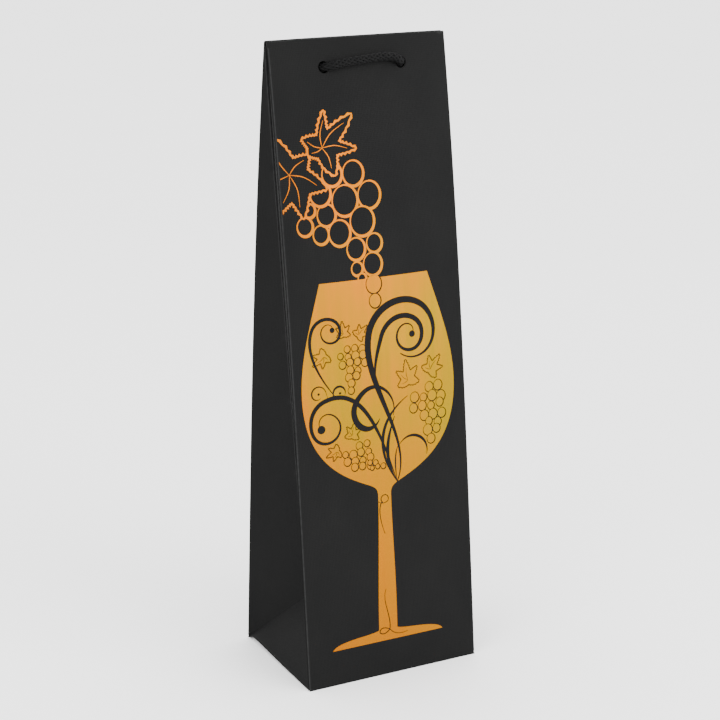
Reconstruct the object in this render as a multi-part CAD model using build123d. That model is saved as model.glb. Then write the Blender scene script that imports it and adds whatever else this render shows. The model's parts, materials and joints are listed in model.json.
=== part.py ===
from build123d import *

import os
from math import acos, atan2, cos, degrees, hypot, pi, radians, sin, sqrt, tan

# Wine gift bag: a tall block-bottom paper bag with side gussets, a turned-in hem with
# card inside it, a base board and two rope handles that are pulled in through their holes.
# It stands with its base open and its mouth pinched shut. The sheet is cut at its creases,
# so each flat facet is a piece of its own that folds about the crease.
# Frame: origin at the middle of the base on the ground, +X right, +Y to the back, +Z up.
# Millimetres.

# Driving dimensions
WIDTH = 108.0
DEPTH = 85.0
HEIGHT = 360.0
PAPER = 0.4
MOUTH_EDGE_GAP = 2.0         # middle plane to a panel's paper at its top corners
MOUTH_BULGE = 6.3            # how much further out the panel's top edge is half way across
OPEN_SHARE = 0.9             # how far the mouth opens towards upright panels

# Clearances at the creases
CREASE_GAP = 0.6             # bare strip along each side of a crease
SIDE_EDGE_GAP = 1.0          # bare strip between a panel's edge and its gusset
SOFT_CREASE_GAP = 1.2        # the same beside the slanting gusset crease
CENTRE_TRIM = 1.8            # cut back from the gusset's centre crease at its foot
CENTRE_TRIM_TOP = 7.4        # and at its top
FACET_TIP = 30.0             # the inner facet's narrow tip is left off below this length
CORNER_TIP = 3.0             # cut from the outer facet's inner corner
TOP_TIP = 9.0                # cut from the inner facet's outer top corner
INNER_LIFT = 0.5             # the inner facet's paper lies this far off its fold plane

# Hem and card
HEM_DEPTH = 38.0
CARD_THICKNESS = 0.8
GLUE_LINE = 0.05
HEM_HALF_WIDTH = 42.0        # the hem and the card stop here, clear of the folded gussets
CARD_DEPTH = 34.0
SEAM_WIDTH = 15.0            # glued side seam, inside the back panel
SEAM_EDGE_MARGIN = 2.2       # from the panel's side edge
SEAM_THICKNESS = 0.35

# Base
FLAP_OVERLAP = 8.0           # each long bottom flap passes the middle by this much
FLAP_STEP_RUN = 3.0          # length of the step where one flap climbs over the other
SIDE_FLAP_REACH = 40.0
FLAP_STEP_GAP = 0.8          # the step ends this far before the other flap's edge
SIDE_FLAP_GAP = 1.6          # bare strip between the side flap and its crease
BOARD_THICKNESS = 1.2
BOARD_X = 103.2
BOARD_Y = 82.2
BOARD_CORNER = 1.5

# Handles
CORD_DIAMETER = 5.0
HOLE_DIAMETER = 7.4
HOLE_SPACING = 47.0
HOLE_BELOW_TOP = 15.0
ARC_SHARE = 0.45             # of the shorter run beside it, that each arc of the rope takes up
KNOT_DIAMETER = 11.0
KNOT_TAIL_LENGTH = 8.0

# Foil artwork on the front, Z is a height above the ground
FOIL_THICKNESS = 0.1
FOIL_LINE = 1.1
GLASS_X = -1.5
GLASS_BASE_Z = 11.0
GLASS_FOOT_Z = 22.0
GLASS_FOOT_EDGE = 3.0
GLASS_STEM_FOOT_Z = 34.6
GLASS_STEM_TOP_Z = 105.0
GLASS_WIDEST_Z = 176.0
GLASS_RIM_Z = 229.0
GLASS_RIM_HALF = 35.0
GLASS_WIDEST_HALF = 49.0
GLASS_FOOT_HALF = 35.0
GLASS_STEM_HALF = 4.4
BERRY_RADIUS = 5.6
BUNCH_TOP_Z = 284.0
BUNCH_X = -14.0
BUNCH_ROWS = (3, 4, 3, 2, 1)  # berries in each row, from the top
LEAVES = [(-18.0, 308.0, 16.0, 20.0), (-42.0, 292.0, 10.0, 150.0)]  # x, height, size, turn
LEAF_LINE = 1.8
LEAF_LOBES = 5
LEAF_POINTS = 40
LEAF_BAY = 0.28              # how deep the bays between the lobes are, as a share of the size
LEAF_TOOTH = 0.05            # and the teeth
LEAF_HEART = 0.35            # and the notch at the stalk


# ---- fold geometry -------------------------------------------------------------------
half_x = (WIDTH - PAPER) / 2
half_y = (DEPTH - PAPER) / 2
crease_z = PAPER / 2

lean = half_y - MOUTH_EDGE_GAP
rise = HEIGHT - crease_z
slope = atan2(lean, rise)
panel_length = hypot(lean, rise)
gusset_half = half_y


def fold(tilt):
    """Left front quarter of the gusset with the panels tilted inward: its four corners."""
    base_tilt = acos((1 - sin(tilt)) / cos(tilt))
    foot = Vector(-half_x, -half_y, crease_z)
    top = Vector(-half_x, -half_y + panel_length * sin(tilt), crease_z + panel_length * cos(tilt))
    apex = Vector(-half_x + gusset_half * sin(base_tilt), 0, crease_z + gusset_half * cos(base_tilt))
    # the centre crease's top is where two circles in the middle plane cross
    reach_top = sqrt(gusset_half**2 - top.Y**2)
    reach_apex = panel_length - gusset_half
    along_x, along_z = apex.X - top.X, apex.Z - top.Z
    span = hypot(along_x, along_z)
    along_x, along_z = along_x / span, along_z / span
    near = (reach_top**2 - reach_apex**2 + span**2) / (2 * span)
    off = sqrt(max(reach_top**2 - near**2, 0))
    centre = Vector(
        top.X + near * along_x - off * along_z,
        0,
        top.Z + near * along_z + off * along_x,
    )
    return foot, top, apex, centre, base_tilt


foot, top, apex, centre_top, base_tilt = fold(slope)


def crease_angle(tilt):
    """The angle between the outer and the inner facet at the slanting crease, in degrees."""
    low_corner, high_corner, inner_corner, centre, _ = fold(tilt)
    crease = (high_corner - inner_corner).normalized()
    outward = low_corner - inner_corner
    inward = centre - inner_corner
    outward -= crease * outward.dot(crease)
    inward -= crease * inward.dot(crease)
    return outward.get_angle(inward)


def crease_travels():
    """How far each crease turns as the pinched mouth opens, in degrees."""
    open_tilt = slope * (1 - OPEN_SHARE)
    open_base_tilt = fold(open_tilt)[-1]
    return {
        "panel": degrees(slope - open_tilt),
        "base triangle and outer facet": degrees(base_tilt - open_base_tilt),
        "inner facet": crease_angle(open_tilt) - crease_angle(slope),
    }


# ---- sheets --------------------------------------------------------------------------
def line_crossing(p, d, q, e):
    """Where the line from p along d meets the line from q along e, in the plane."""
    across = d[0] * e[1] - d[1] * e[0]
    step = ((q[0] - p[0]) * e[1] - (q[1] - p[1]) * e[0]) / across
    return (p[0] + step * d[0], p[1] + step * d[1])


def sheet(corners, margins, lift=0.0):
    """A flat facet of paper. Margin i is the bare strip along the edge from corner i."""
    across = (corners[1] - corners[0]).cross(corners[-1] - corners[0]).normalized()
    plane = Plane(origin=corners[0], x_dir=corners[1] - corners[0], z_dir=across)
    flat = [plane.to_local_coords(corner) for corner in corners]
    edges = []
    for here, after, margin in zip(flat, flat[1:] + flat[:1], margins):
        run = (after - here).normalized()
        edges.append(((here.X - run.Y * margin, here.Y + run.X * margin), (run.X, run.Y)))
    outline = [line_crossing(*edges[i - 1], *edges[i]) for i in range(len(edges))]
    face = make_face(Polyline(*outline, close=True))
    return plane * Pos(0, 0, lift) * extrude(face, amount=PAPER / 2, both=True)


def panel_y(x, z):
    """The middle of the front panel's paper, which bulges towards the top of the bag."""
    share = (z - crease_z) / rise
    return -half_y + lean * share - MOUTH_BULGE * share * (1 - (x / half_x) ** 2)


def on_panel(x, z, inward):
    """A point of the front panel: across, above the ground, and in from its outer face."""
    depth = inward - PAPER / 2
    return Vector(x, panel_y(x, z) + depth * cos(slope), z - depth * sin(slope))


def section(x_from, x_to, z, inward, thickness):
    """A level cut through a layer of the front panel."""
    share = (z - crease_z) / rise
    # a quadratic curve's middle control point, for the panel's parabola
    between = -half_y + lean * share - MOUTH_BULGE * share * (1 - x_from * x_to / half_x**2)
    near = (inward - PAPER / 2) / cos(slope)
    far = near + thickness / cos(slope)
    middle = (x_from + x_to) / 2
    outer = Bezier(
        (x_from, panel_y(x_from, z) + near, z),
        (middle, between + near, z),
        (x_to, panel_y(x_to, z) + near, z),
    )
    inner = Bezier(
        (x_to, panel_y(x_to, z) + far, z),
        (middle, between + far, z),
        (x_from, panel_y(x_from, z) + far, z),
    )
    return make_face([outer, Line(outer @ 1, inner @ 0), inner, Line(inner @ 1, outer @ 0)])


def layer(x_from, x_to, z_from, z_to, inward, thickness):
    """A layer that follows the front panel, its outer face the given distance in."""
    low = section(x_from, x_to, z_from, inward, thickness)
    high = section(x_from, x_to, z_to, inward, thickness)
    return loft([low, high], ruled=True)


hole_x = HOLE_SPACING / 2
hole_z = HEIGHT - HOLE_BELOW_TOP
card_inward = PAPER + GLUE_LINE
hem_inward = card_inward + CARD_THICKNESS + GLUE_LINE


def punch(piece):
    """Punch the two handle holes through a piece of the front."""
    stack = hem_inward + PAPER
    for x in (-hole_x, hole_x):
        middle = on_panel(x, hole_z, stack / 2)
        through = Plane(origin=middle, z_dir=Vector(0, -cos(slope), sin(slope)))
        piece -= through * Cylinder(HOLE_DIAMETER / 2, stack * 3)
    return piece


def panel():
    """The front panel with its hem folded down inside the top edge."""
    half = WIDTH / 2
    hem = HEM_HALF_WIDTH
    front = layer(-half, half, crease_z + CREASE_GAP, HEIGHT, 0, PAPER)
    turned_in = layer(-hem, hem, HEIGHT - HEM_DEPTH, HEIGHT, hem_inward, PAPER)
    top_fold = layer(-hem, hem, HEIGHT - PAPER, HEIGHT, PAPER, hem_inward - PAPER)
    return punch(front + top_fold + turned_in)


def top_card():
    """The stiffening card that the hem wraps round."""
    half = HEM_HALF_WIDTH - GLUE_LINE
    high = HEIGHT - PAPER - GLUE_LINE
    return punch(layer(-half, half, high - CARD_DEPTH, high, card_inward, CARD_THICKNESS))


def seam_strip():
    """The glued side seam, a strip inside one panel along its edge, below the hem."""
    outer = WIDTH / 2 - SEAM_EDGE_MARGIN
    low = board_z + BOARD_THICKNESS + CREASE_GAP
    high = HEIGHT - HEM_DEPTH - CREASE_GAP
    return layer(outer - SEAM_WIDTH, outer, low, high, PAPER, SEAM_THICKNESS)


# ---- gussets -------------------------------------------------------------------------
def base_triangle():
    """The triangle that stands on the left side crease of the base."""
    back_foot = Vector(foot.X, -foot.Y, foot.Z)
    return sheet([back_foot, foot, apex], [CREASE_GAP, SOFT_CREASE_GAP, SOFT_CREASE_GAP])


def outer_facet():
    """The gusset facet that hangs on the front panel's left edge."""
    edge = apex - top
    diagonal = foot - apex
    near_apex = apex - edge * (CORNER_TIP / edge.length)
    past_apex = apex + diagonal * (CORNER_TIP / diagonal.length)
    return sheet(
        [foot, past_apex, near_apex, top],
        [SOFT_CREASE_GAP, CREASE_GAP, SOFT_CREASE_GAP, SIDE_EDGE_GAP],
    )


def inner_facet():
    """The gusset facet between the slanting crease and the centre crease, cut back there."""
    crease = top - apex
    centre = centre_top - apex
    low_outer = apex + crease * (FACET_TIP / crease.length)
    low_inner = apex + centre * (FACET_TIP / centre.length)
    inner_width = (low_inner - low_outer).length
    low_inner = low_inner + (low_outer - low_inner) * (CENTRE_TRIM / inner_width)
    top_width = (centre_top - top).length
    high_inner = centre_top + (top - centre_top) * (CENTRE_TRIM_TOP / top_width)
    across_top = top + (centre_top - top) * (TOP_TIP / top_width)
    below_top = top - crease * (TOP_TIP / crease.length)
    return sheet(
        [low_outer, low_inner, high_inner, across_top, below_top],
        [0, 0, 0, 0, SOFT_CREASE_GAP],
        lift=INNER_LIFT,
    )


# ---- base ----------------------------------------------------------------------------
def flap_outline(reach, half_width, half_reach):
    """A bottom flap that narrows at 45 degrees from the base's corners."""
    return [
        (-half_width, -half_reach),
        (half_width, -half_reach),
        (half_width - reach, -half_reach + reach),
        (-half_width + reach, -half_reach + reach),
    ]


def back_flap():
    """The outer long flap of the bottom, flat on the ground."""
    outline = flap_outline(DEPTH / 2 + FLAP_OVERLAP, WIDTH / 2, DEPTH / 2)
    return Rot(0, 0, 180) * extrude(make_face(Polyline(*outline, close=True)), amount=PAPER)


def front_flap():
    """The inner long flap, which climbs over the edge of the outer one."""
    outline = flap_outline(DEPTH / 2 + FLAP_OVERLAP, WIDTH / 2, DEPTH / 2)
    prism = extrude(make_face(Polyline(*outline, close=True)), amount=4 * PAPER)
    lift = PAPER + GLUE_LINE
    step_end = -FLAP_OVERLAP - FLAP_STEP_GAP
    step_start = step_end - FLAP_STEP_RUN
    front = -DEPTH / 2
    profile = [
        (front, 0),
        (step_start, 0),
        (step_end, lift),
        (FLAP_OVERLAP, lift),
        (FLAP_OVERLAP, lift + PAPER),
        (step_end, lift + PAPER),
        (step_start, PAPER),
        (front, PAPER),
    ]
    section = Plane.YZ * make_face(Polyline(*profile, close=True))
    return prism & extrude(section, amount=WIDTH / 2, both=True)


side_flap_z = 2 * (PAPER + GLUE_LINE)
board_z = side_flap_z + PAPER + GLUE_LINE


def side_flap():
    """The left bottom flap, folded in first, under the base board."""
    outline = flap_outline(SIDE_FLAP_REACH, half_y - CREASE_GAP, half_x - SIDE_FLAP_GAP)
    flat = extrude(make_face(Polyline(*outline, close=True)), amount=PAPER)
    return Pos(0, 0, side_flap_z) * Rot(0, 0, -90) * flat


def base_board():
    """The loose card insert that keeps the bottom flat."""
    board = Pos(0, 0, board_z + BOARD_THICKNESS / 2) * Box(BOARD_X, BOARD_Y, BOARD_THICKNESS)
    return fillet(board.edges().filter_by(Axis.Z), BOARD_CORNER)


# ---- handles -------------------------------------------------------------------------
# The front handle's route by the panel's surface: across, up from the hole's height, and
# in from the outer face. From the left knot up inside the bag, out through the left
# hole, over a low arch on the outside, in through the right hole and down to its knot.
FRONT_ROUTE = [
    (-20.6, -134.0, 14.0),
    (-21.8, -88.0, 12.0),
    (-22.9, -47.0, 8.4),
    (-23.4, -22.0, 5.6),
    (-24.3, -8.0, 4.5),
    (-24.5, -0.4, 4.4),
    (-22.4, 0.4, -3.2),
    (-14.0, 3.2, -4.3),
    (-2.0, 5.0, -4.6),
    (10.0, 6.0, -4.5),
    (18.6, 4.8, -3.7),
    (22.8, 1.0, -2.9),
    (24.0, -1.2, 4.4),
    (24.0, -9.0, 4.5),
    (23.2, -23.0, 5.8),
    (21.8, -49.0, 8.6),
    (22.6, -91.0, 12.2),
    (21.0, -138.0, 14.0),
]


def route_points():
    """The route in the bag's own frame."""
    return [on_panel(x, hole_z + up, inward) for x, up, inward in FRONT_ROUTE]


def cord():
    """The handle's rope, as straight runs joined by the largest tangent arcs."""
    points = route_points()
    radii = []
    for before, here, after in zip(points, points[1:], points[2:]):
        turn = radians((here - before).get_angle(after - here))
        shorter = min((here - before).length, (after - here).length)
        radii.append(ARC_SHARE * shorter / tan(turn / 2))
    line = FilletPolyline(*points, radius=radii)
    start = Plane(origin=points[0], z_dir=points[1] - points[0])
    rope = sweep(start * Circle(CORD_DIAMETER / 2), path=line)
    section = pi * (CORD_DIAMETER / 2) ** 2
    print("handle cord length", round(line.length, 1), "volume / (section x length)",
          round(rope.volume / (section * line.length), 4))
    print("handle cord radii", [round(radius, 1) for radius in radii])
    return rope


def knot(end, before):
    """A tied stopper with its short tail, in line with the rope's end."""
    down = Plane(origin=end, z_dir=end - before)
    half = KNOT_DIAMETER / 2
    neck = CORD_DIAMETER / 2
    belly = sqrt(half**2 - neck**2)
    tail_end = 2 * belly + KNOT_TAIL_LENGTH
    outline = make_face(
        Line((0, 0), (neck, 0))
        + ThreePointArc((neck, 0), (half, belly), (neck, 2 * belly))
        + Polyline((neck, 2 * belly), (neck, tail_end), (0, tail_end), (0, 0))
    )
    return down * revolve(Plane.XZ * outline, Axis.Z)


# ---- foil artwork --------------------------------------------------------------------
def foil(outline_face):
    """Hot foil: a thin shape on the front panel's outer face, drawn as seen from the front."""
    half = WIDTH / 2 - CREASE_GAP
    skin = layer(-half, half, GLASS_BASE_Z / 2, HEIGHT - HEM_DEPTH / 2, -FOIL_THICKNESS,
                 FOIL_THICKNESS)
    return skin & extrude(Plane.XZ * outline_face, amount=DEPTH)


def foil_glass():
    """The wine glass: bowl, stem and foot in one outline."""
    rim_left = (GLASS_X - GLASS_RIM_HALF, GLASS_RIM_Z)
    widest_left = (GLASS_X - GLASS_WIDEST_HALF, GLASS_WIDEST_Z)
    stem_top = (GLASS_X - GLASS_STEM_HALF, GLASS_STEM_TOP_Z)
    stem_foot = (GLASS_X - GLASS_STEM_HALF, GLASS_STEM_FOOT_Z)
    foot_left = (GLASS_X - GLASS_FOOT_HALF, GLASS_FOOT_Z)
    base_left = (GLASS_X - GLASS_FOOT_HALF, GLASS_FOOT_Z - GLASS_FOOT_EDGE)
    base_mid = (GLASS_X, GLASS_BASE_Z)
    left = (
        Spline(rim_left, widest_left, stem_top, tangents=[(-0.15, -1), (0.25, -1)])
        + Line(stem_top, stem_foot)
        + Spline(stem_foot, foot_left, tangents=[(-0.2, -1), (-1, -0.15)])
        + Line(foot_left, base_left)
        + Spline(base_left, base_mid, tangents=[(0.6, -1), (1, 0)])
    )
    right = mirror(left, about=Plane.YZ.offset(GLASS_X))
    rim = Line(rim_left, (GLASS_X + GLASS_RIM_HALF, GLASS_RIM_Z))
    return foil(make_face(left + right + rim))


def foil_grapes():
    """A bunch of berry rings, widest at the top, in staggered rows."""
    pitch = 2 * (BERRY_RADIUS + FOIL_LINE)
    ring = Circle(BERRY_RADIUS) - Circle(BERRY_RADIUS - FOIL_LINE)
    rings = []
    for row, count in enumerate(BUNCH_ROWS):
        height = BUNCH_TOP_Z - row * pitch * sin(radians(60))
        for place in range(count):
            x = BUNCH_X + (place - (count - 1) / 2) * pitch + (row % 2) * FOIL_LINE
            rings.append(foil(Pos(x, height) * ring))
    return Compound(rings)


def leaf_points(size):
    """A lobed, toothed leaf outline round the origin, pointing along +Y."""
    points = []
    for step in range(LEAF_POINTS):
        angle = 2 * pi * step / LEAF_POINTS
        lobe = 1 - LEAF_BAY * (1 - abs(cos(LEAF_LOBES * angle / 2)))
        tooth = 1 - LEAF_TOOTH * (step % 2)
        notch = 1 - LEAF_HEART * max(0, -cos(angle)) ** 6
        radius = size * lobe * tooth * notch
        points.append((radius * sin(angle), radius * cos(angle)))
    return points


def foil_leaves():
    """Two vine leaves, drawn as outlines."""
    leaves = []
    for x, height, size, turn in LEAVES:
        outer = make_face(Polyline(*leaf_points(size), close=True))
        inner = make_face(Polyline(*leaf_points(size - LEAF_LINE), close=True))
        leaves.append(foil(Pos(x, height) * Rot(0, 0, turn) * (outer - inner)))
    return Compound(leaves)


# ---- all pieces ----------------------------------------------------------------------
def left_and_right(name, piece):
    """A left piece and its mirror image."""
    return {"left_" + name: piece, "right_" + name: mirror(piece, about=Plane.YZ)}


def build():
    pieces = {}
    pieces["front_panel"] = panel()
    pieces["back_panel"] = Rot(0, 0, 180) * panel()
    pieces["front_top_card"] = top_card()
    pieces["back_top_card"] = Rot(0, 0, 180) * top_card()
    pieces["side_seam_flap"] = Rot(0, 0, 180) * seam_strip()
    pieces.update(left_and_right("base_triangle", base_triangle()))
    for name, facet in (("outer_facet", outer_facet()), ("inner_facet", inner_facet())):
        pieces.update(left_and_right("front_" + name, facet))
        pieces.update(left_and_right("back_" + name, mirror(facet, about=Plane.XZ)))
    pieces["front_bottom_flap"] = front_flap()
    pieces["back_bottom_flap"] = back_flap()
    pieces.update(left_and_right("bottom_flap", side_flap()))
    pieces["base_board"] = base_board()
    rope = cord()
    points = route_points()
    pieces["front_handle_cord"] = rope
    pieces["back_handle_cord"] = Rot(0, 0, 180) * rope
    knots = {"left": knot(points[0], points[1]), "right": knot(points[-1], points[-2])}
    for side, other in (("left", "right"), ("right", "left")):
        pieces["front_" + side + "_knot"] = knots[side]
        pieces["back_" + other + "_knot"] = Rot(0, 0, 180) * knots[side]
    pieces["foil_wine_glass"] = foil_glass()
    pieces["foil_grape_bunch"] = foil_grapes()
    pieces["foil_vine_leaves"] = foil_leaves()
    return pieces


os.makedirs("parts", exist_ok=True)
for node, shape in build().items():
    export_step(shape, "parts/" + node + ".step")

print("panel slope", round(degrees(slope), 3), "base triangle tilt", round(degrees(base_tilt), 3))
for crease, travel in crease_travels().items():
    print("opening turns the", crease, "by", round(travel, 3), "degrees")
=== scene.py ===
import json
import math
import random

import bmesh
import bpy
import numpy as np
from mathutils import Matrix, Vector, geometry


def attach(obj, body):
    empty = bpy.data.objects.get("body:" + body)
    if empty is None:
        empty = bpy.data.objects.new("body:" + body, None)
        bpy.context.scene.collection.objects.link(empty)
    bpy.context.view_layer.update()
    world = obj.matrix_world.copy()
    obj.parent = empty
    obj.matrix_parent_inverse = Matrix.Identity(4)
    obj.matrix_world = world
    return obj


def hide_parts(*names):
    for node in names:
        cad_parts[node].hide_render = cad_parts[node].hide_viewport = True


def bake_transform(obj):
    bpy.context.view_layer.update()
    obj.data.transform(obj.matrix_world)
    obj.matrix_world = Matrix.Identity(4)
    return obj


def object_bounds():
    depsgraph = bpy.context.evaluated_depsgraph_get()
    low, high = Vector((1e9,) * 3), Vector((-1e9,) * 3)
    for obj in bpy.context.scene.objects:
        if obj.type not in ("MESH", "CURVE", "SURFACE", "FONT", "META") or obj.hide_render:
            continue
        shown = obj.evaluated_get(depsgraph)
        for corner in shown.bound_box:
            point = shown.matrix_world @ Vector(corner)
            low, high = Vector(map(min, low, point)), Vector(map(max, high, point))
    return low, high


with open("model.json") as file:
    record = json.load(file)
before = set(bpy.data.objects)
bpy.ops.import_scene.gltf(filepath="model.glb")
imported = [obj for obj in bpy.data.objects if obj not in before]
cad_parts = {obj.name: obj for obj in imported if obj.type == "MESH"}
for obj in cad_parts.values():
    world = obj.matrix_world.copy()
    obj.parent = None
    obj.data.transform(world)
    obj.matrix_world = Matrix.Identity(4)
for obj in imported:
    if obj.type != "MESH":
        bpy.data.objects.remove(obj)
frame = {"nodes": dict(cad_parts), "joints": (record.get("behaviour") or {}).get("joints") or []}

cad_low, cad_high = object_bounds()

# A black paper wine gift bag. Metres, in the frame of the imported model.
# The printed sheets are cut in the flat and laid on the bag's folded shape.

# ---- sizes ----
width = cad_high.x - cad_low.x
depth = cad_high.y - cad_low.y
height = cad_high.z - cad_low.z
half_width = width / 2
PAPER = 0.00035
MOUTH_EDGE = 0.0022        # middle plane to a panel's outer face at its top corners
SIDE_BOW = 0.0041          # how far a side edge bows out half way up
SIDE_SKEW = 0.0007         # and how much more it does so near its foot
SWELL = 0.0054             # how far the panel's middle would stand out at the top
PINCH = 0.0048             # how far the top edge is pinched back in
PINCH_START = 0.320
RIPPLE = 0.00012           # unevenness of the paper
EDGE_RADIUS = 0.0008       # rounding of the upright creases
HEM_RADIUS = 0.00075       # the sheet turns over the card at the mouth
HEM_DEPTH = 0.038
HEM_HALF_WIDTH = 0.042
CARD_DEPTH = 0.034
CARD_GAP = 0.00003
HOLE_RADIUS = 0.0032
HOLE_X = 0.0235
HOLE_Z = height - 0.015
SEAM_WIDTH = 0.015
SEAM_MARGIN = 0.0022
FOIL_LIFT = 0.00006
CORD_DIAMETER = 0.005

MM = 0.001


# ---- the shape of the bag's two wide sides ----
def side_edge(z):
    """Distance from the middle plane to the outer face of a panel at its side edge."""
    t = min(max(z / height, 0.0), 1.0)
    bow = SIDE_BOW * 4 * t * (1 - t)
    skew = SIDE_SKEW * 8 * t * (1 - t) * (1 - 2 * t)
    return depth / 2 * (1 - t) + MOUTH_EDGE * t + bow - skew


def panel_depth(x, z):
    """Distance from the middle plane to the front panel's outer face."""
    t = min(max(z / height, 0.0), 1.0)
    pinch = max(z - PINCH_START, 0.0) / (height - PINCH_START)
    swell = SWELL * t ** 1.5 - PINCH * pinch ** 3
    across = 1 - (x / half_width) ** 2
    ripple = math.sin(71 * x + 17 * z) + math.sin(113 * z - 29 * x + 1) + math.sin(47 * z + 95 * x)
    return side_edge(z) + across * (swell + RIPPLE * ripple * t)


def front_sheet(u, v, inward):
    """A point of the front sheet: across and up it in the flat, and in from its outer face.

    The sheet wraps a little round the side edges. Past the top it turns over and comes down
    inside as the hem."""
    over = v - (height - HEM_RADIUS)
    into, z = inward, v
    if over > 0:
        turn = min(over / HEM_RADIUS, math.pi)
        reach = HEM_RADIUS - inward
        into = HEM_RADIUS - reach * math.cos(turn)
        z = height - HEM_RADIUS + reach * math.sin(turn) - max(over - math.pi * HEM_RADIUS, 0)
    start = half_width - EDGE_RADIUS
    x = u
    if abs(u) > start:
        turn = min((abs(u) - start) / EDGE_RADIUS, math.pi / 2)
        reach = EDGE_RADIUS - inward
        x = math.copysign(start + reach * math.sin(turn), u)
        into = EDGE_RADIUS - reach * math.cos(turn) + abs(u) - start - EDGE_RADIUS * turn
    return Vector((x, into - panel_depth(max(min(x, half_width), -half_width), z), z))


# ---- the folded gussets ----
def fold_points():
    """The left front quarter of the gusset: foot, inner corner, top and centre crease's top."""
    joints = {joint["name"]: joint for joint in frame["joints"]}
    side = joints["left_front_outer_fold"]
    slanting = joints["left_front_inner_fold"]
    foot, side_way = Vector(side["pos_m"]), Vector(side["axis"])
    inner, crease_way = Vector(slanting["pos_m"]), Vector(slanting["axis"])
    top = sum(geometry.intersect_line_line(foot, foot + side_way, inner, inner + crease_way), Vector()) / 2
    reach = -foot.y
    length = (top - foot).length
    way = Vector((inner.x - top.x, 0, inner.z - top.z))
    span = way.length
    way.normalize()
    from_top = math.sqrt(reach ** 2 - top.y ** 2)
    from_inner = length - reach
    near = (from_top ** 2 - from_inner ** 2 + span ** 2) / (2 * span)
    off = math.sqrt(max(from_top ** 2 - near ** 2, 0))
    centre = Vector((top.x + near * way.x - off * way.z, 0, top.z + near * way.z + off * way.x))
    return foot, inner, top, centre, reach, length


foot, inner_corner, side_top, centre_top, reach, side_length = fold_points()


def flat_map(flat, solid):
    """The map that takes three points in the flat to three points of the folded sheet."""
    a, b, c = (Vector((*p, 1)) for p in flat)
    rows = Matrix((a, b, c)).transposed().inverted()
    columns = Matrix(solid).transposed() @ rows
    return lambda p, q: columns @ Vector((p, q, 1))


def facing(place, flat):
    """The unit vector out of a folded facet, to the side that the bag's outside is on."""
    origin = place(*flat[0])
    return (place(flat[0][0] + 1, flat[0][1]) - origin).cross(
        place(flat[0][0], flat[0][1] + 1) - origin).normalized()


OUTER_FLAT = ((0, 0), (reach, reach), (0, side_length))
INNER_FLAT = ((reach, reach), (reach, side_length), (0, side_length))
BASE_FLAT = ((-reach, 0), (reach, 0), (0, reach))
outer_map = flat_map(OUTER_FLAT, (foot, inner_corner, side_top))
inner_map = flat_map(INNER_FLAT, (inner_corner, centre_top, side_top))
base_map = flat_map(BASE_FLAT, (foot, Vector((foot.x, -foot.y, foot.z)), inner_corner))
outer_way = -facing(outer_map, OUTER_FLAT)
inner_way = -facing(inner_map, INNER_FLAT)
base_way = -facing(base_map, BASE_FLAT)
TOP_LIFT = 0.0005          # the facets stand this far off the panel at the mouth


def crease_across(q):
    """How far from the side edge the slanting crease or the diagonal is, in the flat."""
    return q if q < reach else reach * (side_length - q) / (side_length - reach)


def crease_lift(q):
    """How far the slanting crease stands off the panel."""
    return TOP_LIFT * max(q - reach, 0) / (side_length - reach)


def outer_facet(p, q, inward):
    """A point of the left front outer facet, which bows with the panel's side edge."""
    across = crease_across(q)
    share = min(p / across, 1.0) if across > 1e-6 else 1.0
    point = outer_map(p, q)
    edge = outer_map(0, q)
    bow = -side_edge(edge.z) + EDGE_RADIUS - edge.y
    point.y += bow * (1 - share) + crease_lift(q) * share
    point.x -= (half_width + foot.x) * (1 - share) ** 3
    return point + outer_way * inward


def inner_facet(p, q, inward):
    """A point of the left front inner facet."""
    across = crease_across(q)
    share = min(max((p - across) / max(reach - across, 1e-6), 0.0), 1.0)
    point = inner_map(p, q)
    point.y += crease_lift(q) * (1 - share)
    return point + inner_way * inward


BASE_LIFT = 0.0034         # the base triangle's foot stands this far off the ground at the back
LIFT_EASE = 0.0075


def base_triangle(p, q, inward):
    """A point of the left base triangle. Its lower edge lifts a little towards the back."""
    point = base_map(p, q) + base_way * inward
    rising = min(max((p + reach) / (2 * reach), 0.0), 1.0) ** 1.3
    inside = min(max((reach - abs(p) - q) / LIFT_EASE, 0.0), 1.0)
    point.z += BASE_LIFT * rising * inside * max(1 - q / reach, 0.0) ** 3
    return point


# ---- mesh tools ----
def finish_mesh(name, points, faces, material, pattern=None, sharp=35):
    """A new object from points and faces, with a point attribute that its material reads."""
    mesh = bpy.data.meshes.new(name)
    mesh.from_pydata([tuple(point) for point in points], [], faces)
    if pattern is not None:
        layer = mesh.attributes.new("pattern", "FLOAT_VECTOR", "POINT")
        layer.data.foreach_set("vector", np.array(pattern, np.float32).ravel())
    work = bmesh.new()
    work.from_mesh(mesh)
    bmesh.ops.recalc_face_normals(work, faces=work.faces)
    work.to_mesh(mesh)
    work.free()
    mesh.shade_smooth()
    mesh.set_sharp_from_angle(angle=math.radians(sharp))
    mesh.materials.append(material)
    obj = bpy.data.objects.new(name, mesh)
    bpy.context.scene.collection.objects.link(obj)
    return obj


def register(piece, body, node):
    """A piece that rides on one body and stands for a CAD node."""
    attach(piece, body)
    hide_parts(node)


def winding(points, loop):
    """How often a closed loop goes round each point."""
    start = np.asarray(loop, float)
    end = np.roll(start, -1, axis=0)
    near = ((points >= start.min(0)) & (points <= start.max(0))).all(axis=1)
    total = np.zeros(len(points), int)
    tested = points[near]
    if not len(tested):
        return total
    x, y = tested[:, :1], tested[:, 1:]
    left = (end[:, 0] - start[:, 0]) * (y - start[:, 1]) - (x - start[:, 0]) * (end[:, 1] - start[:, 1])
    up = (start[:, 1] <= y) & (end[:, 1] > y) & (left > 0)
    down = (start[:, 1] > y) & (end[:, 1] <= y) & (left < 0)
    total[near] = up.sum(1) - down.sum(1)
    return total


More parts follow.
